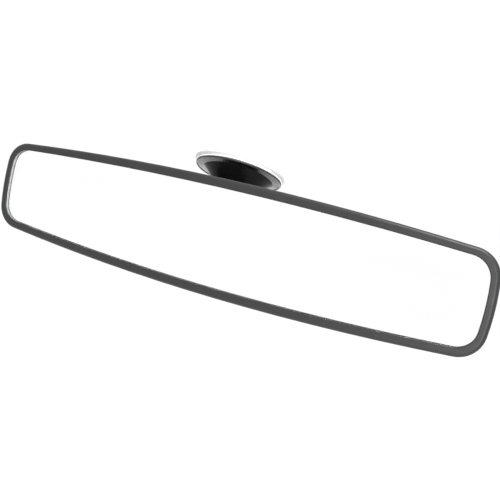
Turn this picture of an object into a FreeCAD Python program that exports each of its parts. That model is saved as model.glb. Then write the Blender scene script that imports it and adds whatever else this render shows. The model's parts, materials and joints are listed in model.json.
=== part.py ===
import FreeCAD, Part
import math
import os
import re
import Sketcher

# Interior rearview mirror on a vacuum suction mount.
#
# The part's frame: origin at the centre of the suction face, X along the mirror, Y away from the
# driver, Z up. Three groups of pieces have local frames of their own:
#   head   X along the mirror, Y backwards, Z up, origin at the centre of the face's outline
#   mount  Z towards the windscreen along the cup's axis, X along the hinge bolt, origin at the
#          centre of the suction face; depths below the windscreen are therefore negative Z
#   arm    origin at the centre of the ball, Z along the stud towards the hinge, X along the bolt

DIMENSIONS = {
    # Outline of the mirror's face
    "face_length": 300.0,
    "face_height": 64.3,
    "face_top_radius": 1777.0,
    "face_bottom_radius": 1484.0,
    "face_side_radius": 127.7,
    "face_corner_radius": 14.2,
    # Outline of the opening in the bezel
    "opening_length": 291.0,
    "opening_height": 53.9,
    "opening_top_radius": 2219.0,
    "opening_bottom_radius": 1605.0,
    "opening_side_radius": 135.9,
    "opening_corner_radius": 10.8,
    # Bezel's bead; the glass stands behind the face's plane by its own gap
    "bead_front": 1.1,
    "bead_depth": 3.7,
    "bead_front_round": 1.95,
    "bead_inner_round": 0.7,
    "bead_back_round": 1.4,
    "glass_front": 0.3,
    # Glass, its backing and the foam behind it
    "glass_overlap": 0.55,
    "glass_side_gap": 0.2,
    "glass_thickness": 1.8,
    "glass_seam": 0.2,
    "backing_inset": 0.25,
    "backing_thickness": 0.2,
    "foam_thickness": 1.2,
    "foam_width": 8.0,
    "foam_length": 226.0,
    "foam_height": 17.0,
    # Rear housing
    "shell_inset": 0.5,
    "shell_depth": 6.8,
    "shell_taper": 33.0,
    "shell_round": 4.0,
    "shell_wall": 1.9,
    "lip_side_gap": 0.15,
    "lip_width": 1.3,
    "lip_depth": 5.0,
    "lip_gap": 0.05,
    "rib_thickness": 1.6,
    "rib_gap": 20.0,
    "rib_spacing": 43.0,
    "rib_root": 1.0,
    # Ball joint
    "ball_back": 18.5,
    "ball_up": 6.0,
    "ball_radius": 7.5,
    "ball_gap": 0.1,
    "liner_thickness": 0.8,
    "liner_opening": 70.0,
    "seat_opening": 66.0,
    "seat_wall": 2.1,
    "socket_bore": 8.9,
    "boss_foot": 19.0,
    "boss_foot_back": 9.0,
    "boss_radius": 11.2,
    "boss_taper_end": 4.5,
    "cup_side_gap": 0.3,
    "cup_rim": 3.5,
    "cup_front": 10.5,
    "disc_spring_outer": 8.2,
    "disc_spring_inner": 5.2,
    "disc_spring_sheet": 0.35,
    "disc_spring_gap": 0.1,
    "retainer_front": 5.2,
    "retainer_thickness": 1.6,
    "retainer_radius": 17.2,
    "retainer_hole": 4.0,
    "screw_circle": 13.8,
    "screw_post": 3.2,
    "screw_radius": 1.25,
    "screw_head": 2.5,
    "screw_head_flat": 1.75,
    "screw_head_depth": 1.5,
    "screw_length": 5.0,
    "screw_gap": 0.05,
    # Ball stud, jam nut and arm
    "neck_radius": 2.3,
    "neck_end": 10.6,
    "collar_radius": 3.7,
    "collar_end": 11.8,
    "thread_radius": 2.5,
    "thread_end": 20.6,
    "thread_gap": 0.05,
    "jam_nut_flats": 8.0,
    "jam_nut_height": 3.0,
    "nut_bevel": 0.3,
    "arm_radius": 4.1,
    "eye_radius": 5.6,
    "eye_half_width": 4.2,
    # Suction mount: place and tilt in the head's frame
    "cup_centre_left": 16.79,
    "cup_centre_back": 50.89,
    "cup_centre_up": 38.24,
    "cup_tilt": 17.69,
    "cup_azimuth": 99.36,
    # Suction cup
    "cup_radius": 27.96,
    "cup_edge": 1.1,
    "seal_inner": 24.0,
    "seal_slope": 4.0,
    "slope_depth": 0.9,
    "dome_depth": 2.4,
    "chamber_depth": 3.2,
    "cup_back_edge": 2.9,
    "cup_back_half": 4.2,
    "cup_back_middle": 4.9,
    "cup_boss_radius": 6.2,
    "cup_boss_top": 7.0,
    # Bell
    "bell_radius": 26.6,
    "bell_bottom": 3.0,
    "bell_edge": 0.6,
    "flange_inner": 21.6,
    "flange_depth": 4.4,
    "flank_curve": 28.0,
    "neck_outer": 12.4,
    "neck_top_depth": 15.2,
    "neck_low_depth": 20.0,
    "bell_wall": 1.9,
    "hollow_shoulder": 19.2,
    "hollow_shoulder_depth": 3.7,
    "hollow_radius": 15.0,
    "bell_edge_round": 0.4,
    "neck_round": 4.0,
    "floor_depth": 8.0,
    "floor_thickness": 2.0,
    "stud_hole": 2.9,
    "slot_half_width": 5.3,
    "slot_front": 5.5,
    # Hinge of the arm
    "hinge_depth": 28.0,
    "ear_radius": 6.0,
    "ear_root_half": 8.5,
    "ear_root_depth": 18.5,
    "arm_slot_depth": 20.6,
    "ear_thickness": 3.4,
    "hinge_bolt_radius": 2.0,
    "hinge_fit": 0.05,
    "friction_washer": 1.0,
    "friction_washer_radius": 5.6,
    "bolt_head_radius": 3.8,
    "bolt_head_flat": 2.66,
    "bolt_head_height": 2.4,
    "nut_flats": 7.0,
    "nut_height": 3.2,
    "bolt_tip": 1.2,
    # Pull stud, lever and springs
    "stud_radius": 2.5,
    "stud_head_radius": 4.5,
    "stud_head_depth": 4.7,
    "stud_head_height": 1.5,
    "stud_fit": 0.1,
    "stud_eye_radius": 2.9,
    "stud_eye_half": 2.2,
    "pin_radius": 1.4,
    "pin_fit": 0.05,
    "cam_radius": 4.6,
    "cam_offset": 2.0,
    "cam_angle": 30.0,
    "cam_gap": 0.05,
    "washer_thickness": 0.8,
    "washer_inner": 3.1,
    "washer_outer": 5.2,
    "cheek_half_width": 4.9,
    "fork_half_width": 2.85,
    "fork_depth": 8.0,
    "handle_root_top": 3.4,
    "handle_root_low": 1.0,
    "handle_step": 2.0,
    "knee_step": 2.4,
    "knee_reach": 15.0,
    "knee_rise": 3.25,
    "slope_reach": 20.6,
    "slope_rise": 9.95,
    "tip_reach": 24.4,
    "tip_rise": 10.4,
    "tip_edge": 0.8,
    "coil_radius": 8.6,
    "coil_wire": 0.5,
    "coil_gap": 0.1,
    "coil_pitch": 1.45,
    "coil_rise": 2.1,
}

SCREW_COUNT = 3
TOUCHING = 1e-4

doc = FreeCAD.newDocument("rearview_mirror")
sheet = doc.addObject("Spreadsheet::Sheet", "dims")
aliases = []
sub_parts = []


def set_number(alias, number):
    aliases.append(alias)
    row = len(aliases)
    sheet.set("A%d" % row, alias)
    sheet.set("B%d" % row, repr(number))
    sheet.setAlias("B%d" % row, alias)
    doc.recompute()


for alias, number in DIMENSIONS.items():
    set_number(alias, number)


def bound(text):
    """An expression in plain aliases, with the sheet's name put before each alias."""
    return re.sub(r"[a-z_]+", lambda word: "dims." + word.group(0)
                  if word.group(0) in aliases else word.group(0), text)


def value(text):
    """The number that an expression in plain aliases comes to."""
    return float(sheet.evalExpression(bound(text)))


def vector(x, y, z):
    return FreeCAD.Vector(x, y, z)


# ---------------------------------------------------------------- frames of the three groups

suction_centre = vector(-value("cup_centre_left"), value("cup_centre_back"), value("cup_centre_up"))
head_place = FreeCAD.Placement(-suction_centre, FreeCAD.Rotation())

tilt = math.radians(value("cup_tilt"))
azimuth = math.radians(value("cup_azimuth"))
cup_axis = vector(math.sin(tilt) * math.cos(azimuth), math.sin(tilt) * math.sin(azimuth), math.cos(tilt))
ball_centre = vector(0, value("ball_back"), value("ball_up")) - suction_centre
hinge_centre = cup_axis * -value("hinge_depth")
arm_vector = hinge_centre - ball_centre
set_number("arm_reach", arm_vector.Length)
arm_axis = arm_vector.normalize()
hinge_axis = arm_axis.cross(cup_axis).normalize()


def frame_of(origin, x_axis, z_axis):
    y_axis = z_axis.cross(x_axis)
    matrix = FreeCAD.Matrix(x_axis.x, y_axis.x, z_axis.x, origin.x,
                            x_axis.y, y_axis.y, z_axis.y, origin.y,
                            x_axis.z, y_axis.z, z_axis.z, origin.z,
                            0, 0, 0, 1)
    return FreeCAD.Placement(matrix)


mount_place = frame_of(vector(0, 0, 0), hinge_axis, cup_axis)
arm_place = frame_of(ball_centre, hinge_axis, arm_axis)
ball_place = FreeCAD.Placement(ball_centre, FreeCAD.Rotation())


# ---------------------------------------------------------------- sketches and features

def new_body(name, place):
    body = doc.addObject("PartDesign::Body", name)
    body.Label = name
    body.Placement = place
    sub_parts.append(body)
    return body


def new_sketch(body, name, plane, level="0", across="0", up="0"):
    """A sketch on one of the body's own planes, moved along its normal and within the plane."""
    sketch = body.newObject("Sketcher::SketchObject", body.Name + "_" + name)
    support = [item for item in body.Origin.OriginFeatures if item.Role == plane][0]
    sketch.AttachmentSupport = [(support, "")]
    sketch.MapMode = "FlatFace"
    for axis, distance in (("x", across), ("y", up), ("z", level)):
        sketch.setExpression("AttachmentOffset.Base." + axis, bound(distance))
    return sketch


def arc_between(start, end, radius):
    """The short arc from start to end: counter-clockwise for a positive radius."""
    size = abs(radius)
    chord = end - start
    side = vector(-chord.y, chord.x, 0).normalize() * (1 if radius > 0 else -1)
    centre = start + chord * 0.5 + side * math.sqrt(max(size ** 2 - chord.Length ** 2 / 4, 0))
    first, last = (start, end) if radius > 0 else (end, start)
    angles = [math.atan2(point.y - centre.y, point.x - centre.x) for point in (first, last)]
    return Part.ArcOfCircle(Part.Circle(centre, vector(0, 0, 1), size), angles[0], angles[1])


def profile(sketch, corners):
    """A closed outline: a corner is (x, y), or (x, y, radius) where an arc leaves it.

    An arc with a positive radius runs counter-clockwise, one with a negative radius clockwise.
    """
    points = [vector(value(corner[0]), value(corner[1]), 0) for corner in corners]
    starts, ends = [], []
    for index, corner in enumerate(corners):
        start, end = points[index], points[(index + 1) % len(points)]
        if len(corner) == 3:
            radius = value(corner[2])
            edge = sketch.addGeometry(arc_between(start, end, radius), False)
            size = sketch.addConstraint(Sketcher.Constraint("Radius", edge, abs(radius)))
            sketch.setExpression("Constraints[%d]" % size, "abs(%s)" % bound(corner[2]))
            starts.append((edge, 1 if radius > 0 else 2))
            ends.append((edge, 2 if radius > 0 else 1))
        else:
            edge = sketch.addGeometry(Part.LineSegment(start, end), False)
            starts.append((edge, 1))
            ends.append((edge, 2))
    for index, corner in enumerate(corners):
        sketch.addConstraint(Sketcher.Constraint("Coincident", *ends[index - 1], *starts[index]))
        for kind, text, number in (("DistanceX", corner[0], points[index].x),
                                   ("DistanceY", corner[1], points[index].y)):
            place = sketch.addConstraint(Sketcher.Constraint(kind, *starts[index], number))
            sketch.setExpression("Constraints[%d]" % place, bound(text))
    return sketch


def circle(sketch, x, y, radius):
    centre = vector(value(x), value(y), 0)
    ring = sketch.addGeometry(Part.Circle(centre, vector(0, 0, 1), value(radius)), False)
    for kind, text, number in (("DistanceX", x, centre.x), ("DistanceY", y, centre.y)):
        place = sketch.addConstraint(Sketcher.Constraint(kind, ring, 3, number))
        sketch.setExpression("Constraints[%d]" % place, bound(text))
    size = sketch.addConstraint(Sketcher.Constraint("Radius", ring, value(radius)))
    sketch.setExpression("Constraints[%d]" % size, bound(radius))
    return sketch


def rectangle(sketch, left, right, low, high):
    return profile(sketch, [(left, low), (right, low), (right, high), (left, high)])


def hexagon(sketch, flats, x="0", y="0"):
    corners = ["%s + (%s) / sqrt(3) * %s(%d)" for step in range(6)]
    return profile(sketch, [(corners[step] % (x, flats, "cos", 60 * step),
                             corners[step] % (y, flats, "sin", 60 * step)) for step in range(6)])


def meeting_point(centre_one, radius_one, centre_two, radius_two):
    """The right-hand point where two circles meet, the one further from the middle line."""
    span = centre_two - centre_one
    along = (span.Length ** 2 + radius_one ** 2 - radius_two ** 2) / (2 * span.Length)
    across = math.sqrt(radius_one ** 2 - along ** 2)
    unit = vector(span.x, span.y, 0).normalize()
    foot = centre_one + unit * along
    both = [foot + vector(-unit.y, unit.x, 0) * across, foot - vector(-unit.y, unit.x, 0) * across]
    return max(both, key=lambda point: point.x)


def long_outline(sketch, name, inset):
    """An outline moved inwards: long flat arcs above and below, round ends and tight corners.

    The name is "face" for the mirror's own outline, or "opening" for the one in its bezel.
    """
    def named(text):
        return re.sub("_(length|height|top|bottom|side|corner)", name + r"_\1", text)

    top = value(named("_top_radius - (%s)") % inset)
    bottom = value(named("_bottom_radius - (%s)") % inset)
    side = value(named("_side_radius - (%s)") % inset)
    corner = value(named("_corner_radius - (%s)") % inset)
    top_centre = vector(0, value(named("_height / 2 - _top_radius")), 0)
    bottom_centre = vector(0, value(named("_bottom_radius - _height / 2")), 0)
    side_centre = vector(value(named("_length / 2 - _side_radius")), 0, 0)
    upper = meeting_point(top_centre, top - corner, side_centre, side - corner)
    lower = meeting_point(bottom_centre, bottom - corner, side_centre, side - corner)

    def mirrored(point):
        return vector(-point.x, point.y, 0)

    # Arc centres, counter-clockwise from the right-hand end
    rounds = [(side_centre, side, "_side"), (upper, corner, "_corner"),
              (top_centre, top, "_top"), (mirrored(upper), corner, "_corner"),
              (mirrored(side_centre), side, "_side"), (mirrored(lower), corner, "_corner"),
              (bottom_centre, bottom, "_bottom"), (lower, corner, "_corner")]

    def joint_angles(index):
        """The angles of an arc's two ends, which lie on the lines through its neighbours' centres."""
        centre, radius = rounds[index][:2]
        angles = []
        for neighbour in (rounds[index - 1][0], rounds[(index + 1) % len(rounds)][0]):
            line = centre - neighbour if radius < 2 * corner else neighbour - centre
            angles.append(math.atan2(line.y, line.x))
        return angles

    arcs = []
    for index, (centre, radius, part) in enumerate(rounds):
        start, end = joint_angles(index)
        arc = Part.ArcOfCircle(Part.Circle(centre, vector(0, 0, 1), radius), start, end)
        arcs.append(sketch.addGeometry(arc, False))
    for index, (centre, radius, part) in enumerate(rounds):
        sketch.addConstraint(Sketcher.Constraint("Tangent", arcs[index - 1], 2, arcs[index], 1))
        size = sketch.addConstraint(Sketcher.Constraint("Radius", arcs[index], radius))
        sketch.setExpression("Constraints[%d]" % size, bound(named(part) + "_radius - (%s)" % inset))
    places = [(0, "_length / 2 - _side_radius", "0"), (4, "_side_radius - _length / 2", "0"),
              (2, "0", "_height / 2 - _top_radius"), (6, "0", "_bottom_radius - _height / 2")]
    for index, across, up in places:
        for kind, text in (("DistanceX", named(across)), ("DistanceY", named(up))):
            place = sketch.addConstraint(Sketcher.Constraint(kind, arcs[index], 3, value(text)))
            sketch.setExpression("Constraints[%d]" % place, bound(text))
    return sketch


def feature(body, kind, name, sketch, **settings):
    """Adds a feature on a sketch; text settings are expressions, the others plain values."""
    item = body.newObject("PartDesign::" + kind, body.Name + "_" + name)
    item.Profile = sketch
    sketch.Visibility = False
    for key, setting in settings.items():
        if isinstance(setting, str):
            item.setExpression(key, bound(setting))
        else:
            setattr(item, key, setting)
    doc.recompute()
    return item


def cut(body, kind, name, sketch, **settings):
    """A Pocket or Groove, checked to take material away."""
    before = body.Shape.Volume
    item = feature(body, kind, name, sketch, **settings)
    if not item.Shape.Volume < before - TOUCHING:
        raise RuntimeError("%s cuts nothing" % item.Name)
    return item


def turned(body, name, sketch, axis="V_Axis"):
    return feature(body, "Revolution", name, sketch, ReferenceAxis=(sketch, [axis]), Angle=360.0)


def ring(body, name, original, sketch):
    """Repeats a screw, or its post or hole, round the sketch's horizontal axis."""
    pattern = body.newObject("PartDesign::PolarPattern", body.Name + "_" + name)
    pattern.Originals = [original]
    pattern.Axis = (sketch, ["H_Axis"])
    pattern.Angle = 360.0
    pattern.Occurrences = SCREW_COUNT
    body.Tip = pattern
    doc.recompute()


def edges_at(shape, along, level, keep=lambda edge: True):
    """Names of the edges that lie in a plane square to an axis."""
    names = []
    for number, edge in enumerate(shape.Edges, start=1):
        box = edge.BoundBox
        low, high = getattr(box, along + "Min"), getattr(box, along + "Max")
        if abs(low - level) < TOUCHING and abs(high - level) < TOUCHING and keep(edge):
            names.append("Edge%d" % number)
    return names


def rounded(body, name, base, edges, radius):
    item = body.newObject("PartDesign::Fillet", body.Name + "_" + name)
    item.Base = (base, edges)
    item.setExpression("Radius", bound(radius))
    doc.recompute()
    return item


def bevelled(body, name, base, edges, size):
    item = body.newObject("PartDesign::Chamfer", body.Name + "_" + name)
    item.Base = (base, edges)
    item.setExpression("Size", bound(size))
    doc.recompute()
    return item


def long_pad(body, name, outline, inset, front, depth, **settings):
    """A slab of one of the long outlines, from front backwards."""
    sketch = new_sketch(body, name + "_sketch", "XZ_Plane", "-(%s)" % front)
    long_outline(sketch, outline, inset)
    return feature(body, "Pad", name, sketch, Length=depth, Reversed=True, **settings)


def long_pocket(body, name, outline, inset, front, depth, **settings):
    """A pocket of one of the long outlines, from front backwards."""
    sketch = new_sketch(body, name + "_sketch", "XZ_Plane", "-(%s)" % front)
    long_outline(sketch, outline, inset)
    return cut(body, "Pocket", name, sketch, Length=depth, Reversed=False, **settings)


# ---------------------------------------------------------------- head

BEAD_BACK = "(bead_depth - bead_front)"
GLASS_BACK = "(glass_thickness - glass_front)"
FOAM_FRONT = "(glass_thickness - glass_front + backing_thickness)"
FOAM_BACK = "(glass_thickness - glass_front + backing_thickness + foam_thickness)"
SHELL_BACK = "(bead_depth - bead_front + shell_depth)"
RABBET_INSET = "(-glass_overlap - glass_side_gap)"


def is_opening(edge):
    """Tells the edges round the bezel's opening from those of its outer outline."""
    box = edge.BoundBox
    reach = value("opening_length / 2") + TOUCHING
    height = value("opening_height / 2") + TOUCHING
    return max(-box.XMin, box.XMax) < reach and max(-box.ZMin, box.ZMax) < height


def is_outer(edge):
    return not is_opening(edge)


def make_front_bezel():
    """A low bead, wider above and below than at its ends, with a rabbet for the glass behind it."""
    body = new_body("front_bezel", head_place)
    long_pad(body, "bead", "face", "0", "-bead_front", "bead_depth")
    frame = long_pocket(body, "opening", "opening", "0", "-bead_front", "bead_depth")
    for name, level, keep in (("front_round", -value("bead_front"), is_outer),
                              ("inner_round", -value("bead_front"), is_opening),
                              ("back_round", value(BEAD_BACK), is_outer)):
        frame = rounded(body, name, frame, edges_at(frame.Shape, "Y", level, keep), "bead_" + name)
    long_pocket(body, "rabbet", "opening", RABBET_INSET, "-glass_front", "bead_depth")


def make_mirror_glass():
    body = new_body("mirror_glass", head_place)
    pane = long_pad(body, "pane", "opening", "-glass_overlap", "-glass_front", "glass_thickness")
    edges = edges_at(pane.Shape, "Y", -value("glass_front")) + edges_at(pane.Shape, "Y", value(GLASS_BACK))
    bevelled(body, "seamed_edges", pane, edges, "glass_seam")


def make_mirror_backing():
    body = new_body("mirror_backing", head_place)
    long_pad(body, "layer", "opening", "backing_inset - glass_overlap", GLASS_BACK, "backing_thickness")


def make_foam_strips():
    """Two strips of foam tape, above and below the middle, between the backing and the ribs."""
    body = new_body("foam_strips", head_place)
    sketch = new_sketch(body, "outlines", "XZ_Plane", "-" + FOAM_FRONT)
    for side in ("-", ""):
        middle = side + "foam_height"
        rectangle(sketch, "-foam_length / 2", "foam_length / 2",
                  middle + " - foam_width / 2", middle + " + foam_width / 2")
    feature(body, "Pad", "strips", sketch, Length="foam_thickness", Reversed=True)


SEAT_RADIUS = "(ball_radius + ball_gap + liner_thickness + ball_gap)"
SEAT_OUTER = "(ball_radius + ball_gap + liner_thickness + ball_gap + seat_wall)"
RETAINER_BACK = "(retainer_front + retainer_thickness)"


def make_rear_housing():
    """A dished shell with a lip that presses the glass, ribs, screw posts and the ball's socket."""
    body = new_body("rear_housing", head_place)
    slab = long_pad(body, "slab", "face", "shell_inset", BEAD_BACK, "shell_depth",
                    TaperAngle="-shell_taper")
    edges = edges_at(slab.Shape, "Y", value(SHELL_BACK))
    rounded(body, "back_round", slab, edges, "shell_round")
    long_pocket(body, "hollow", "face", "shell_inset + shell_wall", BEAD_BACK,
                "shell_depth - shell_wall", TaperAngle="-shell_taper")

    lip = new_sketch(body, "lip_sketch", "XZ_Plane", "-(%s + lip_gap)" % FOAM_FRONT)
    long_outline(lip, "opening", RABBET_INSET + " + lip_side_gap")
    long_outline(lip, "opening", RABBET_INSET + " + lip_side_gap + lip_width")
    feature(body, "Pad", "lip", lip, Length="lip_depth", Reversed=True)

    ribs = new_sketch(body, "rib_sketch", "XZ_Plane", "-" + FOAM_BACK)
    for side in ("-", ""):
        for end in ("-", ""):
            left, right = sorted((end + "rib_gap", end + "foam_length / 2"), key=value)
            rectangle(ribs, left, right, "%sfoam_height - rib_thickness / 2" % side,
                      "%sfoam_height + rib_thickness / 2" % side)
    rib_depth = "%s - shell_wall - %s + rib_root" % (SHELL_BACK, FOAM_BACK)
    feature(body, "Pad", "ribs", ribs, Length=rib_depth, Reversed=True)

    cross_ribs = new_sketch(body, "cross_rib_sketch", "XZ_Plane", "-" + FOAM_BACK)
    for end in ("-", ""):
        for step in (1, 2):
            middle = "%s%d * rib_spacing" % (end, step)
            rectangle(cross_ribs, middle + " - rib_thickness / 2", middle + " + rib_thickness / 2",
                      "-foam_height", "foam_height")
    feature(body, "Pad", "cross_ribs", cross_ribs, Length=rib_depth, Reversed=True)

    front = RETAINER_BACK + " - ball_back"
    foot = "boss_foot_back - ball_back"
    boss = profile(new_sketch(body, "boss_sketch", "YZ_Plane", across="ball_back", up="ball_up"), [
        (front, "0"),
        (front, "boss_radius"),
        (foot + " - rib_root", "boss_radius"),
        (foot + " - rib_root", "boss_foot"),
        (foot, "boss_foot"),
        ("-boss_taper_end", "boss_radius"),
        ("0", SEAT_OUTER, "-" + SEAT_OUTER),
        (SEAT_OUTER + " * cos(seat_opening)", SEAT_OUTER + " * sin(seat_opening)"),
        (SEAT_OUTER + " * cos(seat_opening)", "0"),
    ])
    turned(body, "boss", boss, "H_Axis")

    post = new_sketch(body, "post_sketch", "XZ_Plane", "-" + RETAINER_BACK)
    circle(post, "0", "ball_up + screw_circle", "screw_post")
    post = feature(body, "Pad", "post", post, Length="boss_foot_back - " + RETAINER_BACK, Reversed=True)
    ring(body, "posts", post, boss)

    hole = new_sketch(body, "hole_sketch", "XZ_Plane", "-" + RETAINER_BACK)
    circle(hole, "0", "ball_up + screw_circle", "screw_radius + screw_gap")
    hole = cut(body, "Pocket", "hole", hole, Length="screw_length - retainer_thickness + screw_gap",
               Reversed=False)
    ring(body, "holes", hole, boss)

    socket = profile(new_sketch(body, "socket_sketch", "YZ_Plane", across="ball_back", up="ball_up"), [
        (front + " - rib_root", "0"),
        (front + " - rib_root", "socket_bore"),
        ("0", "socket_bore"),
        ("0", SEAT_RADIUS, "-" + SEAT_RADIUS),
        (SEAT_RADIUS + " * cos(seat_opening)", SEAT_RADIUS + " * sin(seat_opening)"),
        ("2 * %s * cos(seat_opening)" % SEAT_RADIUS, "2 * %s * sin(seat_opening)" % SEAT_RADIUS),
        ("2 * " + SEAT_RADIUS, "2 * %s * sin(seat_opening)" % SEAT_RADIUS),
        ("2 * " + SEAT_RADIUS, "0"),
    ])
    cut(body, "Groove", "socket", socket, ReferenceAxis=(socket, ["H_Axis"]), Angle=360.0)


def make_ball_liner():
    """A plastic shell round the ball, open towards the stud."""
    body = new_body("ball_liner", ball_place)
    inner = "(ball_radius + ball_gap)"
    outer = "(ball_radius + ball_gap + liner_thickness)"
    shell = profile(new_sketch(body, "sketch", "YZ_Plane"), [
        ("-" + outer, "0", "-" + outer),
        (outer + " * cos(liner_opening)", outer + " * sin(liner_opening)"),
        (inner + " * cos(liner_opening)", inner + " * sin(liner_opening)", inner),
        ("-" + inner, "0"),
    ])
    turned(body, "shell", shell, "H_Axis")


def make_pressure_cup():
    """A cup that presses the liner on the ball from inside the housing."""
    body = new_body("pressure_cup", ball_place)
    outline = profile(new_sketch(body, "sketch", "YZ_Plane"), [
        ("-cup_front", "0"),
        ("-cup_front", "socket_bore - cup_side_gap"),
        ("-cup_rim", "socket_bore - cup_side_gap"),
        ("-cup_rim", "sqrt(%s ^ 2 - cup_rim ^ 2)" % SEAT_RADIUS, SEAT_RADIUS),
        ("-" + SEAT_RADIUS, "0"),
    ])
    turned(body, "cup", outline, "H_Axis")


def make_disc_spring():
    """A conical spring ring between the retainer and the pressure cup."""
    body = new_body("disc_spring", ball_place)
    front = "(%s - ball_back + disc_spring_gap)" % RETAINER_BACK
    back = "(-cup_front - disc_spring_gap)"
    outline = profile(new_sketch(body, "sketch", "YZ_Plane"), [
        (front, "disc_spring_inner"),
        (front + " + disc_spring_sheet", "disc_spring_inner"),
        (back, "disc_spring_outer"),
        (back + " - disc_spring_sheet", "disc_spring_outer"),
    ])
    turned(body, "ring", outline, "H_Axis")


def make_socket_retainer():
    """The plate that closes the socket, held by three screws."""
    body = new_body("socket_retainer", ball_place)
    outline = new_sketch(body, "sketch", "XZ_Plane", "ball_back - retainer_front")
    circle(outline, "0", "0", "retainer_radius")
    circle(outline, "0", "0", "retainer_hole")
    for step in range(SCREW_COUNT):
        angle = 90 + 360 * step / SCREW_COUNT
        circle(outline, "screw_circle * cos(%g)" % angle, "screw_circle * sin(%g)" % angle,
               "screw_radius + 2 * screw_gap")
    feature(body, "Pad", "plate", outline, Length="retainer_thickness", Reversed=True)


def make_retainer_screws():
    body = new_body("retainer_screws", ball_place)
    front = "(retainer_front - ball_back)"
    outline = profile(new_sketch(body, "sketch", "YZ_Plane", up="screw_circle"), [
        (front + " - screw_head_depth", "0"),
        (front + " - screw_head_depth", "screw_head_flat"),
        (front + " - screw_head_depth / 2", "screw_head"),
        (front, "screw_head"),
        (front, "screw_radius"),
        (front + " + screw_length - screw_radius", "screw_radius"),
        (front + " + screw_length", "0"),
    ])
    screw = turned(body, "screw", outline, "H_Axis")
    centre = new_sketch(body, "axis_sketch", "YZ_Plane")
    ring(body, "screws", screw, centre)


# ---------------------------------------------------------------- stud and arm

NUT_TOP = "(collar_end + jam_nut_height)"


def make_ball_stud():
    body = new_body("ball_stud", arm_place)
    outline = profile(new_sketch(body, "sketch", "XZ_Plane"), [
        ("0", "-ball_radius", "ball_radius"),
        ("neck_radius", "sqrt(ball_radius ^ 2 - neck_radius ^ 2)"),
        ("neck_radius", "neck_end"),
        ("collar_radius", "neck_end"),
        ("collar_radius", "collar_end"),
        ("thread_radius", "collar_end"),
        ("thread_radius", "thread_end"),
        ("0", "thread_end"),
    ])
    turned(body, "stud", outline)


def make_jam_nut():
    body = new_body("jam_nut", arm_place)
    outline = hexagon(new_sketch(body, "sketch", "XY_Plane", "collar_end"), "jam_nut_flats")
    circle(outline, "0", "0", "thread_radius + thread_gap")
    nut = feature(body, "Pad", "nut", outline, Length="jam_nut_height")
    edges = edges_at(nut.Shape, "Z", value(NUT_TOP), lambda edge: edge.Length < value("jam_nut_flats"))
    bevelled(body, "bevel", nut, edges, "nut_bevel")


def make_arm_link():
    """A round bar with a threaded hole at one end and the hinge's eye at the other."""
    body = new_body("arm_link", arm_place)
    bar = circle(new_sketch(body, "bar_sketch", "XY_Plane", NUT_TOP), "0", "0", "arm_radius")
    feature(body, "Pad", "bar", bar, Length="arm_reach - %s" % NUT_TOP)
    eye = circle(new_sketch(body, "eye_sketch", "YZ_Plane"), "0", "arm_reach", "eye_radius")
    feature(body, "Pad", "eye", eye, Length="2 * eye_half_width", Midplane=True)
    thread = new_sketch(body, "thread_sketch", "XY_Plane", NUT_TOP)
    circle(thread, "0", "0", "thread_radius + thread_gap")
    cut(body, "Pocket", "thread", thread, Length="thread_end - %s + thread_gap" % NUT_TOP, Reversed=True)
    bore = new_sketch(body, "bore_sketch", "YZ_Plane")
    circle(bore, "0", "arm_reach", "hinge_bolt_radius + hinge_fit")
    cut(body, "Pocket", "bore", bore, Length="4 * eye_half_width", Midplane=True)


# ---------------------------------------------------------------- suction mount

PIN_HEIGHT = "(-floor_depth - floor_thickness - washer_thickness - cam_gap - cam_radius" \
             " - cam_offset * sin(cam_angle))"
EAR_OUTER = "(slot_half_width + ear_thickness)"


def make_suction_bell():
    """A trumpet-shaped cover with a lever chamber in its neck and two ears for the arm's hinge."""
    body = new_body("suction_bell", mount_place)
    outline = profile(new_sketch(body, "sketch", "XZ_Plane"), [
        ("bell_radius - bell_wall", "-bell_bottom"),
        ("bell_radius", "-bell_bottom"),
        ("bell_radius", "-bell_bottom - bell_edge"),
        ("flange_inner", "-flange_depth", "flank_curve"),
        ("neck_outer", "-neck_top_depth"),
        ("neck_outer", "-neck_low_depth"),
        ("stud_hole", "-neck_low_depth"),
        ("stud_hole", "-floor_depth"),
        ("hollow_radius", "-floor_depth"),
        ("hollow_shoulder", "-hollow_shoulder_depth"),
    ])
    shell = turned(body, "shell", outline)
    rim = edges_at(shell.Shape, "Z", -value("bell_bottom + bell_edge"))
    soft_rim = rounded(body, "rim_round", shell, rim, "bell_edge_round")
    neck = edges_at(soft_rim.Shape, "Z", -value("neck_top_depth"))
    rounded(body, "neck_round", soft_rim, neck, "neck_round")

    ears = profile(new_sketch(body, "ear_sketch", "YZ_Plane"), [
        ("-ear_root_half", "-ear_root_depth"),
        ("-ear_radius", "-hinge_depth", "ear_radius"),
        ("0", "-hinge_depth - ear_radius", "ear_radius"),
        ("ear_radius", "-hinge_depth"),
        ("ear_root_half", "-ear_root_depth"),
    ])
    feature(body, "Pad", "ears", ears, Length="2 * " + EAR_OUTER, Midplane=True)

    chamber = new_sketch(body, "chamber_sketch", "YZ_Plane")
    rectangle(chamber, "-slot_front", "bell_radius", "-arm_slot_depth", "-floor_depth - floor_thickness")
    cut(body, "Pocket", "chamber", chamber, Length="2 * slot_half_width", Midplane=True)
    arm_slot = new_sketch(body, "arm_slot_sketch", "YZ_Plane")
    rectangle(arm_slot, "-bell_radius", "bell_radius", "-2 * hinge_depth", "-neck_low_depth")
    cut(body, "Pocket", "arm_slot", arm_slot, Length="2 * slot_half_width", Midplane=True)
    bore = new_sketch(body, "bore_sketch", "YZ_Plane")
    circle(bore, "0", "-hinge_depth", "hinge_bolt_radius + hinge_fit")
    cut(body, "Pocket", "bore", bore, Length="4 * " + EAR_OUTER, Midplane=True)


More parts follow.
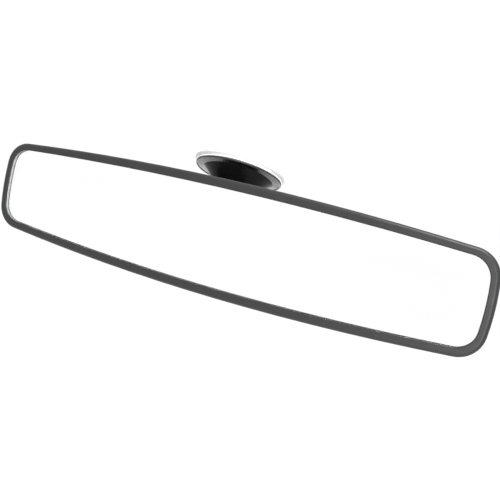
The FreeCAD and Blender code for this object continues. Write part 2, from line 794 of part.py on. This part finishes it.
def make_suction_cup():
    """A soft disc, flat at the rim and domed in the middle, moulded round the head of the stud."""
    body = new_body("suction_cup", mount_place)
    outline = profile(new_sketch(body, "sketch", "XZ_Plane"), [
        ("0", "-chamber_depth"),
        ("seal_inner / 2", "-dome_depth"),
        ("seal_inner - seal_slope", "-slope_depth"),
        ("seal_inner", "0"),
        ("cup_radius", "0"),
        ("cup_radius", "-cup_edge"),
        ("bell_radius", "-bell_bottom + 2 * stud_fit"),
        ("bell_radius - bell_wall", "-bell_bottom + stud_fit / 2"),
        ("seal_inner - seal_slope", "-cup_back_edge"),
        ("seal_inner / 2", "-cup_back_half"),
        ("cup_boss_radius", "-cup_back_middle"),
        ("cup_boss_radius", "-cup_boss_top"),
        ("stud_radius + stud_fit", "-cup_boss_top"),
        ("stud_radius + stud_fit", "-stud_head_depth - stud_head_height - stud_fit"),
        ("stud_head_radius + stud_fit", "-stud_head_depth - stud_head_height - stud_fit"),
        ("stud_head_radius + stud_fit", "-stud_head_depth + stud_fit"),
        ("0", "-stud_head_depth + stud_fit"),
    ])
    turned(body, "disc", outline)


def make_pull_stud():
    """A headed stud with an eye, pulled away from the windscreen by the lever."""
    body = new_body("pull_stud", mount_place)
    outline = profile(new_sketch(body, "sketch", "XZ_Plane"), [
        ("0", "-stud_head_depth"),
        ("stud_head_radius", "-stud_head_depth"),
        ("stud_head_radius", "-stud_head_depth - stud_head_height"),
        ("stud_radius", "-stud_head_depth - stud_head_height"),
        ("stud_radius", PIN_HEIGHT),
        ("0", PIN_HEIGHT),
    ])
    turned(body, "shank", outline)
    eye = circle(new_sketch(body, "eye_sketch", "YZ_Plane"), "0", PIN_HEIGHT, "stud_eye_radius")
    feature(body, "Pad", "eye", eye, Length="2 * stud_eye_half", Midplane=True)
    bore = circle(new_sketch(body, "bore_sketch", "YZ_Plane"), "0", PIN_HEIGHT, "pin_radius + pin_fit")
    cut(body, "Pocket", "bore", bore, Length="4 * stud_eye_half", Midplane=True)


def make_lever_pin():
    body = new_body("lever_pin", mount_place)
    pin = circle(new_sketch(body, "sketch", "YZ_Plane"), "0", PIN_HEIGHT, "pin_radius")
    feature(body, "Pad", "pin", pin, Length="2 * cheek_half_width", Midplane=True)


def make_lock_lever():
    """A forked cam with a handle that lies along the bell's flank when locked."""
    body = new_body("lock_lever", mount_place)

    def above_pin(height):
        return "%s + (%s)" % (PIN_HEIGHT, height)

    handle = profile(new_sketch(body, "handle_sketch", "YZ_Plane"), [
        ("cam_offset", above_pin("handle_root_top")),
        ("knee_reach", above_pin("knee_rise")),
        ("slope_reach", above_pin("slope_rise")),
        ("tip_reach", above_pin("tip_rise")),
        ("tip_reach + tip_edge", above_pin("tip_rise - 2 * tip_edge")),
        ("slope_reach + handle_step", above_pin("slope_rise - handle_step")),
        ("knee_reach + handle_step", above_pin("knee_rise - handle_step")),
        ("knee_reach", above_pin("knee_rise - knee_step")),
        ("cam_offset", above_pin("-handle_root_low")),
    ])
    feature(body, "Pad", "handle", handle, Length="2 * cheek_half_width", Midplane=True)
    cam = circle(new_sketch(body, "cam_sketch", "YZ_Plane"), "cam_offset * cos(cam_angle)",
                 above_pin("cam_offset * sin(cam_angle)"), "cam_radius")
    feature(body, "Pad", "cam", cam, Length="2 * cheek_half_width", Midplane=True)
    fork = new_sketch(body, "fork_sketch", "YZ_Plane")
    rectangle(fork, "-2 * cam_radius", "fork_depth", above_pin("-2 * cam_radius"), "-floor_depth")
    cut(body, "Pocket", "fork", fork, Length="2 * fork_half_width", Midplane=True)
    bore = circle(new_sketch(body, "bore_sketch", "YZ_Plane"), "0", PIN_HEIGHT, "pin_radius + pin_fit")
    cut(body, "Pocket", "bore", bore, Length="4 * cheek_half_width", Midplane=True)


def make_wear_washer():
    body = new_body("wear_washer", mount_place)
    outline = new_sketch(body, "sketch", "XY_Plane", "-floor_depth - floor_thickness")
    circle(outline, "0", "0", "washer_outer")
    circle(outline, "0", "0", "washer_inner")
    feature(body, "Pad", "ring", outline, Length="washer_thickness", Reversed=True)


def make_return_spring():
    """A short coil that pushes the cup's middle back to the windscreen when the lever is released."""
    body = new_body("return_spring", mount_place)
    wire = circle(new_sketch(body, "sketch", "XZ_Plane"), "coil_radius",
                  "-floor_depth + coil_wire + coil_gap", "coil_wire")
    feature(body, "AdditiveHelix", "coil", wire, ReferenceAxis=(wire, ["V_Axis"]), Mode=0,
            Pitch="coil_pitch", Height="coil_rise")


def make_hinge_bolt():
    body = new_body("hinge_bolt", mount_place)
    outline = profile(new_sketch(body, "sketch", "XZ_Plane", up="-hinge_depth"), [
        ("-%s - bolt_head_height" % EAR_OUTER, "0"),
        ("-%s - bolt_head_height" % EAR_OUTER, "bolt_head_flat"),
        ("-%s - bolt_head_height / 2" % EAR_OUTER, "bolt_head_radius"),
        ("-" + EAR_OUTER, "bolt_head_radius"),
        ("-" + EAR_OUTER, "hinge_bolt_radius"),
        (EAR_OUTER + " + nut_height + bolt_tip", "hinge_bolt_radius"),
        (EAR_OUTER + " + nut_height + bolt_tip", "0"),
    ])
    turned(body, "bolt", outline, "H_Axis")


def make_hinge_nut():
    body = new_body("hinge_nut", mount_place)
    outline = hexagon(new_sketch(body, "sketch", "YZ_Plane", EAR_OUTER), "nut_flats", y="-hinge_depth")
    circle(outline, "0", "-hinge_depth", "hinge_bolt_radius + hinge_fit")
    nut = feature(body, "Pad", "nut", outline, Length="nut_height")
    edges = edges_at(nut.Shape, "X", value(EAR_OUTER + " + nut_height"),
                     lambda edge: edge.Length < value("nut_flats"))
    bevelled(body, "bevel", nut, edges, "nut_bevel")


def make_hinge_washers():
    """Two friction washers, one each side of the arm's eye."""
    body = new_body("hinge_washers", mount_place)
    for side, level in (("left", "-eye_half_width - hinge_fit - friction_washer"),
                        ("right", "eye_half_width + hinge_fit")):
        outline = new_sketch(body, side + "_sketch", "YZ_Plane", level)
        circle(outline, "0", "-hinge_depth", "friction_washer_radius")
        circle(outline, "0", "-hinge_depth", "hinge_bolt_radius + hinge_fit")
        feature(body, "Pad", side, outline, Length="friction_washer")


for maker in (make_front_bezel, make_mirror_glass, make_mirror_backing, make_foam_strips,
              make_rear_housing, make_ball_liner, make_pressure_cup, make_disc_spring,
              make_socket_retainer, make_retainer_screws, make_ball_stud, make_jam_nut,
              make_arm_link, make_suction_bell, make_suction_cup, make_pull_stud, make_lever_pin,
              make_lock_lever, make_wear_washer, make_return_spring, make_hinge_bolt,
              make_hinge_nut, make_hinge_washers):
    maker()

# ---------------------------------------------------------------- checks and files

doc.recompute()
for item in doc.Objects:
    if "Invalid" in item.State or "Error" in item.State:
        raise RuntimeError("%s is %s" % (item.Name, item.State))
os.makedirs("parts", exist_ok=True)
for body in sub_parts:
    if body.Shape.isNull() or not body.Shape.isValid():
        raise RuntimeError("%s has no valid shape" % body.Label)
for body in sub_parts:
    body.Shape.exportStep(os.path.join("parts", body.Label + ".step"))
    print("%-18s %9.1f mm3  %d solids" % (body.Label, body.Shape.Volume, len(body.Shape.Solids)))
for name, place in (("hinge centre", hinge_centre), ("ball centre", ball_centre),
                    ("hinge axis", hinge_axis), ("cup axis", cup_axis)):
    print("%-12s %9.5f %9.5f %9.5f" % (name, place.x, place.y, place.z))
print("pin height %.4f, arm reach %.4f" % (value(PIN_HEIGHT), value("arm_reach")))
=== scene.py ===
import json
import math

import bpy
import bmesh
from mathutils import Matrix, Vector


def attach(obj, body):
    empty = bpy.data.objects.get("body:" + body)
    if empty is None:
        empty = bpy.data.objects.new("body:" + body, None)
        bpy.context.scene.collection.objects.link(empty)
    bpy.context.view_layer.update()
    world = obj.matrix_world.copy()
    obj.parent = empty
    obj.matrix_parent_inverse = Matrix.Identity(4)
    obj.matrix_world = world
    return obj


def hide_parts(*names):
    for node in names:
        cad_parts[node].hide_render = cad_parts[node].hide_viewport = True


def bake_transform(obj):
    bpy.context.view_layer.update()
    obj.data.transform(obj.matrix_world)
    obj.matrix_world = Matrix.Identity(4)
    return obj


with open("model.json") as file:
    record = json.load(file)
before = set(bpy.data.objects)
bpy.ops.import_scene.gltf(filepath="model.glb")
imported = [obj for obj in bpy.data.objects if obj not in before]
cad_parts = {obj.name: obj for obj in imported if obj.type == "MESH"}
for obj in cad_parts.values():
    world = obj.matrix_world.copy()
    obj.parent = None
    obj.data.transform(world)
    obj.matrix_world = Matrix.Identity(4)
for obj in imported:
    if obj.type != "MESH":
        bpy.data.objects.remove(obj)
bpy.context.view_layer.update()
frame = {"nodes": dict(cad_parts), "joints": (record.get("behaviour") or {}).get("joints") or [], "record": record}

MM = 0.001                  # one millimetre in metres
nodes = frame["nodes"]
joints = {joint["name"]: joint for joint in frame["joints"]}
mounts = {mount["name"]: mount for mount in frame["record"]["mounts"]}


# ---------------------------------------------------------------- frames taken from the CAD

def frame_of(origin, x_axis, z_axis):
    """The matrix of a local frame from its origin, X axis and Z axis."""
    z_axis = Vector(z_axis).normalized()
    x_axis = (Vector(x_axis) - z_axis * Vector(x_axis).dot(z_axis)).normalized()
    y_axis = z_axis.cross(x_axis)
    matrix = Matrix((x_axis, y_axis, z_axis)).transposed().to_4x4()
    matrix.translation = Vector(origin)
    return matrix


suction = mounts["suction_face"]
cup_frame = frame_of(suction["pos_m"], joints["arm_tilt"]["axis"], suction["axis"])


# ---------------------------------------------------------------- mesh building

def softened(corners, size, steps=4, largest_share=0.45):
    """A profile with each corner turned into a short curve, so that smooth shading looks right.

    A curve starts size away from its corner, or at most largest_share of the run along it.
    """
    corners = [Vector(corner) for corner in corners]
    points = [corners[0]]
    for before, corner, after in zip(corners, corners[1:], corners[2:]):
        start = corner.lerp(before, min(size / (before - corner).length, largest_share))
        end = corner.lerp(after, min(size / (after - corner).length, largest_share))
        for step in range(steps + 1):
            part = step / steps
            points.append(start.lerp(corner, part).lerp(corner.lerp(end, part), part))
    return points + [corners[-1]]


def in_scene(name, data):
    """A new object that holds the given mesh, light or camera, linked to the scene."""
    item = bpy.data.objects.new(name, data)
    bpy.context.scene.collection.objects.link(item)
    return item


def covered(mesh, *materials):
    """The mesh with these materials in its slots and no others."""
    mesh.materials.clear()
    for material in materials:
        mesh.materials.append(material)
    return mesh


def new_piece(name, shape, place, *materials):
    """A smooth-shaded object from a bmesh, set in place."""
    bmesh.ops.remove_doubles(shape, verts=shape.verts, dist=0.001 * MM)
    bmesh.ops.recalc_face_normals(shape, faces=shape.faces)
    mesh = bpy.data.meshes.new(name)
    shape.to_mesh(mesh)
    shape.free()
    mesh.transform(place)
    for face in mesh.polygons:
        face.use_smooth = True
    for material in materials:
        mesh.materials.append(material)
    return in_scene(name, mesh)


def turned(profile, segments=192, choose=lambda radius, height: 0):
    """A solid of revolution about Z from (radius, height) points in millimetres.

    choose gives a face's material slot from the radius and height of its middle.
    """
    shape = bmesh.new()
    rings = []
    for radius, height in profile:
        corners = []
        for step in range(segments):
            angle = 2 * math.pi * step / segments
            corners.append(shape.verts.new((radius * math.cos(angle) * MM,
                                            radius * math.sin(angle) * MM, height * MM)))
        rings.append(corners)
    for (upper, lower), (first, second) in zip(zip(rings, rings[1:]), zip(profile, profile[1:])):
        kind = choose((first[0] + second[0]) / 2, (first[1] + second[1]) / 2)
        for step in range(segments):
            following = (step + 1) % segments
            face = shape.faces.new((upper[step], upper[following], lower[following], lower[step]))
            face.material_index = kind
    return shape


# ---------------------------------------------------------------- materials

class Shader:
    """A Principled material with short calls for its texture nodes."""

    def __init__(self, name, **inputs):
        self.material = bpy.data.materials.new(name)
        self.material.use_nodes = True
        self.tree = self.material.node_tree
        self.surface = self.tree.nodes["Principled BSDF"]
        for key, value in inputs.items():
            self.surface.inputs[key.replace("_", " ")].default_value = value
        self.coordinates = self.tree.nodes.new("ShaderNodeTexCoord").outputs["Object"]

    def link(self, source, target):
        self.tree.links.new(source, target)

    def node(self, kind, **settings):
        item = self.tree.nodes.new("ShaderNode" + kind)
        for key, value in settings.items():
            if key in item.inputs.keys():
                item.inputs[key].default_value = value
            else:
                setattr(item, key, value)
        return item

    def noise(self, scale, detail=3.0, stretch=None):
        item = self.node("TexNoise", Scale=scale, Detail=detail)
        self.link(self.stretched(stretch), item.inputs["Vector"])
        return item.outputs["Fac"]

    def cells(self, scale, feature="F1"):
        item = self.node("TexVoronoi", Scale=scale, feature=feature)
        self.link(self.coordinates, item.inputs["Vector"])
        return item.outputs["Distance"]

    def stretched(self, stretch):
        if stretch is None:
            return self.coordinates
        mapping = self.node("Mapping", Scale=stretch)
        self.link(self.coordinates, mapping.inputs["Vector"])
        return mapping.outputs["Vector"]

    def ramp(self, source, low, high, start=0.3, end=0.7):
        """Turns a texture into a colour, or a number where low and high are numbers."""
        if isinstance(low, (int, float)):
            item = self.node("MapRange")
            item.inputs["From Min"].default_value = start
            item.inputs["From Max"].default_value = end
            item.inputs["To Min"].default_value = low
            item.inputs["To Max"].default_value = high
            self.link(source, item.inputs["Value"])
            return item.outputs["Result"]
        item = self.node("ValToRGB")
        item.color_ramp.elements[0].position = start
        item.color_ramp.elements[1].position = end
        item.color_ramp.elements[0].color = (*low, 1)
        item.color_ramp.elements[1].color = (*high, 1)
        self.link(source, item.inputs["Fac"])
        return item.outputs["Color"]

    def colour(self, source, low, high, start=0.3, end=0.7):
        self.link(self.ramp(source, low, high, start, end), self.surface.inputs["Base Color"])

    def roughness(self, source, low, high):
        self.link(self.ramp(source, low, high), self.surface.inputs["Roughness"])

    def bump(self, source, depth, strength=1.0, after=None):
        item = self.node("Bump", Strength=strength, Distance=depth)
        self.link(source, item.inputs["Height"])
        if after is not None:
            self.link(after, item.inputs["Normal"])
        self.link(item.outputs["Normal"], self.surface.inputs["Normal"])
        return item.outputs["Normal"]


def grey(level):
    return (level, level, level)


def bezel_material():
    shader = Shader("bezel_soft_plastic", Roughness=0.44, Specular_IOR_Level=0.35)
    shader.colour(shader.noise(90.0), (0.0138, 0.0138, 0.0144), (0.0170, 0.0168, 0.0174))
    shader.roughness(shader.noise(320.0), 0.39, 0.48)
    shader.bump(shader.noise(2600.0, detail=2.0), 0.00002, 0.5)
    return shader.material


def housing_material():
    shader = Shader("housing_grained_plastic", Roughness=0.55, Specular_IOR_Level=0.4)
    shader.colour(shader.noise(60.0), (0.020, 0.020, 0.021), (0.026, 0.026, 0.027))
    shader.roughness(shader.noise(400.0), 0.5, 0.62)
    grain = shader.bump(shader.cells(950.0), 0.00006, 0.55)
    shader.bump(shader.noise(3200.0), 0.00002, 0.4, after=grain)
    return shader.material


def gloss_material():
    shader = Shader("gloss_black_plastic", Roughness=0.2, Specular_IOR_Level=0.055)
    shader.colour(shader.noise(120.0), (0.0052, 0.0052, 0.0053), (0.0068, 0.0068, 0.0069))
    shader.roughness(shader.noise(260.0), 0.16, 0.24)
    shader.bump(shader.noise(700.0), 0.000008, 0.4)
    return shader.material


def rim_material():
    shader = Shader("satin_black_rim", Roughness=0.4, Specular_IOR_Level=0.35)
    shader.colour(shader.noise(120.0), (0.0180, 0.0180, 0.0185), (0.0230, 0.0230, 0.0235))
    shader.roughness(shader.noise(420.0), 0.34, 0.46)
    shader.bump(shader.noise(2200.0), 0.000012, 0.4)
    return shader.material


def arm_material():
    shader = Shader("arm_satin_plastic", Roughness=0.38)
    shader.colour(shader.noise(140.0), (0.010, 0.010, 0.011), (0.015, 0.015, 0.016))
    shader.roughness(shader.noise(500.0), 0.32, 0.46)
    shader.bump(shader.noise(1800.0), 0.00002, 0.4)
    return shader.material


def vinyl_material():
    shader = Shader("clear_vinyl", Roughness=0.05, IOR=1.42, Transmission_Weight=1.0)
    shader.colour(shader.noise(60.0), (0.955, 0.97, 0.975), (0.985, 0.99, 0.995))
    shader.roughness(shader.noise(500.0), 0.02, 0.08)
    shader.bump(shader.noise(160.0), 0.00002, 0.3)
    return shader.material


def vinyl_edge_material():
    shader = Shader("vinyl_moulded_edge", Roughness=0.1, IOR=1.3, Transmission_Weight=0.2)
    shader.colour(shader.noise(60.0), (0.64, 0.64, 0.645), (0.67, 0.67, 0.675))
    shader.roughness(shader.noise(500.0), 0.06, 0.14)
    return shader.material


# Near-white colour painted on the foot of the cup edge's slope: a painted highlight that stands in for the glint
# along the rounded rim of the bell.
def painted_highlight_material():
    shader = Shader("painted_highlight_vinyl_rim", Roughness=0.45, Specular_IOR_Level=0.5)
    shader.colour(shader.noise(90.0), (0.95, 0.95, 0.95), (0.985, 0.985, 0.985))
    shader.bump(shader.noise(900.0), 0.00001, 0.4)
    return shader.material


def ground_material():
    shader = Shader("ground_glass_edge", Roughness=0.7)
    shader.colour(shader.noise(400.0), (0.80, 0.82, 0.82), (0.90, 0.91, 0.91))
    shader.bump(shader.noise(2500.0), 0.00002, 0.6)
    return shader.material


def glass_material():
    shader = Shader("float_glass", Roughness=0.0, IOR=1.52, Transmission_Weight=1.0)
    shader.colour(shader.noise(8.0), (0.998, 1.0, 0.999), (1.0, 1.0, 1.0))
    return shader.material


def silver_material():
    shader = Shader("silvering", Roughness=0.01, Metallic=1.0)
    shader.colour(shader.noise(6.0), (0.985, 0.985, 0.986), (0.995, 0.995, 0.996))
    return shader.material


def steel_material(name, low, high, rough):
    shader = Shader(name, Metallic=1.0, Roughness=rough)
    shader.colour(shader.noise(300.0), low, high)
    shader.roughness(shader.noise(900.0, stretch=(1.0, 1.0, 0.2)), rough * 0.8, rough * 1.3)
    shader.bump(shader.noise(1500.0, stretch=(1.0, 1.0, 0.1)), 0.000008, 0.5)
    return shader.material


def nylon_material():
    shader = Shader("natural_nylon", Roughness=0.42, Subsurface_Weight=0.15)
    shader.surface.inputs["Subsurface Radius"].default_value = (0.001, 0.001, 0.0008)
    shader.colour(shader.noise(220.0), (0.70, 0.68, 0.60), (0.80, 0.78, 0.71))
    shader.bump(shader.noise(1400.0), 0.00001, 0.5)
    return shader.material


def foam_material():
    shader = Shader("foam_tape", Roughness=0.9)
    shader.colour(shader.cells(1400.0), (0.62, 0.62, 0.60), (0.80, 0.80, 0.78))
    shader.bump(shader.cells(1400.0), 0.0001, 0.8)
    return shader.material


bezel_plastic = bezel_material()
housing_plastic = housing_material()
gloss_black = gloss_material()
rim_black = rim_material()
arm_plastic = arm_material()
clear_vinyl = vinyl_material()
vinyl_edge = vinyl_edge_material()
painted_highlight_vinyl = painted_highlight_material()
ground_edge = ground_material()
glass = glass_material()
silver = silver_material()
zinc = steel_material("zinc_plate", (0.50, 0.51, 0.53), (0.62, 0.62, 0.63), 0.3)
ball_steel = steel_material("polished_ball", (0.66, 0.66, 0.68), (0.74, 0.74, 0.75), 0.14)
nylon = nylon_material()
foam = foam_material()

FINISHES = {
    bezel_plastic: ["front_bezel"],
    housing_plastic: ["rear_housing"],
    gloss_black: ["suction_bell", "lock_lever"],
    arm_plastic: ["arm_link"],
    clear_vinyl: ["suction_cup"],
    glass: ["mirror_glass"],
    silver: ["mirror_backing"],
    zinc: ["disc_spring", "socket_retainer", "retainer_screws", "jam_nut", "pull_stud", "lever_pin",
           "wear_washer", "return_spring", "hinge_bolt", "hinge_nut"],
    ball_steel: ["ball_stud"],
    nylon: ["ball_liner", "pressure_cup", "hinge_washers"],
    foam: ["foam_strips"],
}
for material, names in FINISHES.items():
    for name in names:
        covered(nodes[name].data, material)


# ---------------------------------------------------------------- mirror face

FACING = 0.9                # the normals of the pane's two large faces have more than this along Y
SILVER_SINK = 0.03          # millimetres that the silvering reaches into the glass


def add_glass():
    """The pane with its polished faces clear and its seamed edges ground to a pale frost."""
    mesh = covered(nodes["mirror_glass"].data.copy(), glass, ground_edge)
    for face in mesh.polygons:
        face.material_index = 0 if abs(face.normal.y) > FACING else 1
    pane = in_scene("mirror_pane", mesh)
    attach(pane, "head")
    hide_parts("mirror_glass")


def add_silvering():
    """The reflecting layer, bonded into the back of the glass so that no air lies between them."""
    mesh = covered(nodes["mirror_backing"].data.copy(), silver)
    mesh.transform(Matrix.Translation((0.0, -SILVER_SINK * MM, 0.0)))
    layer = in_scene("mirror_silvering", mesh)
    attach(layer, "head")
    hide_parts("mirror_backing")


add_glass()
add_silvering()


# ---------------------------------------------------------------- suction cup

# Profiles are (radius, height) in millimetres, with the height from the plane of the sealing lip.
CUP_CHAMBER = [(0.0, -3.2), (6.0, -2.95), (12.0, -2.3), (17.0, -1.45), (21.0, -0.75), (23.9, -0.05)]
CUP_LIP = [(24.3, 0.0), (27.6, 0.0), (27.94, -0.25), (27.94, -0.55), (27.78, -0.65), (27.94, -0.75),
           (27.94, -1.0), (27.7, -1.3), (27.0, -2.3), (26.75, -2.75)]
CUP_BACK = [(24.7, -2.92), (20.0, -2.9), (16.0, -3.4), (12.0, -4.15), (6.9, -4.85)]
CUP_BOSS = [(6.2, -5.3), (6.2, -7.0), (2.6, -7.0), (2.6, -6.3), (4.6, -6.3), (4.6, -4.62), (0.0, -4.62)]
CUP_CORNER = 0.25           # size of the curve at each corner of the cup
CLEAR_TO = 26.6             # radius where the clear disc ends and its moulded edge begins
PAINTED_HIGHLIGHT_FROM = -2.25        # height below which the edge's slope is painted near-white, a painted highlight standing in for the glint along the bell's rim

RIM_OUTLINE = [(25.9, -3.05), (26.58, -3.05), (26.62, -3.3), (26.6, -3.8), (26.4, -4.05),
               (26.1, -4.1), (25.75, -4.0), (25.7, -3.65), (25.9, -3.05)]
RIM_CORNER = 0.12           # and of the bead


def cup_finish(radius, height):
    """The slot of the clear disc, of its cloudy edge, or of the foot of the edge's slope, which carries a painted
    highlight.
    """
    if radius < CLEAR_TO:
        return 0
    return 2 if height < PAINTED_HIGHLIGHT_FROM else 1


def add_clear_cup():
    """The soft disc: a thin flat lip, a shallow dome and a boss moulded round the stud's head."""
    profile = softened(CUP_CHAMBER + CUP_LIP + CUP_BACK + CUP_BOSS, CUP_CORNER)
    shape = turned(profile, choose=cup_finish)
    # The third slot holds the painted highlight on the foot of the edge's slope.
    cup = new_piece("clear_suction_cup", shape, cup_frame, clear_vinyl, vinyl_edge, painted_highlight_vinyl)
    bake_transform(cup)
    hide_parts("suction_cup")


def add_bell_rim():
    """The satin bead that is moulded round the edge of the glossy bell."""
    rim = new_piece("bell_rim_bead", turned(softened(RIM_OUTLINE, RIM_CORNER)), cup_frame, rim_black)
    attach(rim, "mount")


add_clear_cup()
add_bell_rim()


# ---------------------------------------------------------------- floor, light and camera

FLOOR_REACH = 40.0          # metres from the middle to each side
FLOOR_DROP = 0.45           # metres below the suction face
WORLD_STRENGTH = 1.08

# Each light has its place, its target, its two sides, all in metres, and its power in watts.
LIGHTS = {
    "key": ((0.5, -0.6, 0.7), (0.0, 0.0, 0.0), (0.8, 0.8), 4.0),
    "corner": ((0.15, -0.18, 0.28), (0.15, -0.05, -0.04), (0.15, 0.15), 1.5),
    "front": ((0.34, -0.82, -0.12), (0.16, -0.05, -0.04), (0.3, 0.3), 4.2),
    "back": ((-0.38, 0.62, -0.30), (0.0, 0.0, -0.01), (0.5, 0.25), 0.7),
    "low_back": ((-0.16, 0.36, -0.40), (0.0, 0.0, -0.01), (0.4, 0.25), 0.7),
}

CAMERA_PLACE = (0.19996, -0.40528, 0.00554)     # metres
CAMERA_HEADING = 24.243                         # degrees to the left of straight ahead
CAMERA_PITCH = -6.645                           # degrees upwards, so it looks down a little
CAMERA_ROLL = 11.843                            # degrees anticlockwise, seen from behind the camera
CAMERA_LENS = 53.52                             # millimetres, on a 36 mm sensor


def add_floor():
    corners = [(x * FLOOR_REACH, y * FLOOR_REACH, -FLOOR_DROP)
               for x, y in ((-1, -1), (1, -1), (1, 1), (-1, 1))]
    mesh = bpy.data.meshes.new("floor")
    mesh.from_pydata(corners, [], [(0, 1, 2, 3)])
    shader = Shader("pale_floor", Roughness=0.9, Specular_IOR_Level=0.0)
    shader.colour(shader.noise(0.5), grey(0.93), grey(0.95))
    in_scene("floor", covered(mesh, shader.material))


def add_light(name, place, target, size, power):
    """A soft rectangular light; the camera doesn't see the lamp itself."""
    data = bpy.data.lights.new(name, "AREA")
    data.shape = "RECTANGLE"
    data.size, data.size_y = size
    data.energy = power
    light = in_scene(name, data)
    light.location = place
    direction = Vector(target) - Vector(place)
    light.rotation_euler = direction.to_track_quat("-Z", "Y").to_euler()
    light.visible_camera = False


def add_world():
    """An even white surround, which also gives the glass something pale to reflect."""
    world = bpy.data.worlds.new("studio")
    world.use_nodes = True
    background = world.node_tree.nodes["Background"]
    background.inputs["Color"].default_value = (1.0, 1.0, 1.0, 1.0)
    background.inputs["Strength"].default_value = WORLD_STRENGTH
    bpy.context.scene.world = world


def add_camera():
    """Front right of the mirror, level with its suction face, with the frame tilted."""
    data = bpy.data.cameras.new("camera")
    data.sensor_width = 36.0
    data.lens = CAMERA_LENS
    data.clip_start = 0.01
    camera = in_scene("camera", data)
    heading = Matrix.Rotation(math.radians(CAMERA_HEADING), 4, "Z")
    pitch = Matrix.Rotation(math.radians(90.0 + CAMERA_PITCH), 4, "X")
    roll = Matrix.Rotation(math.radians(CAMERA_ROLL), 4, "Z")
    camera.matrix_world = Matrix.Translation(CAMERA_PLACE) @ heading @ pitch @ roll
    bpy.context.scene.camera = camera


add_floor()
add_world()
for name, settings in LIGHTS.items():
    add_light(name, *settings)
add_camera()
bpy.context.scene.view_settings.view_transform = "Standard"
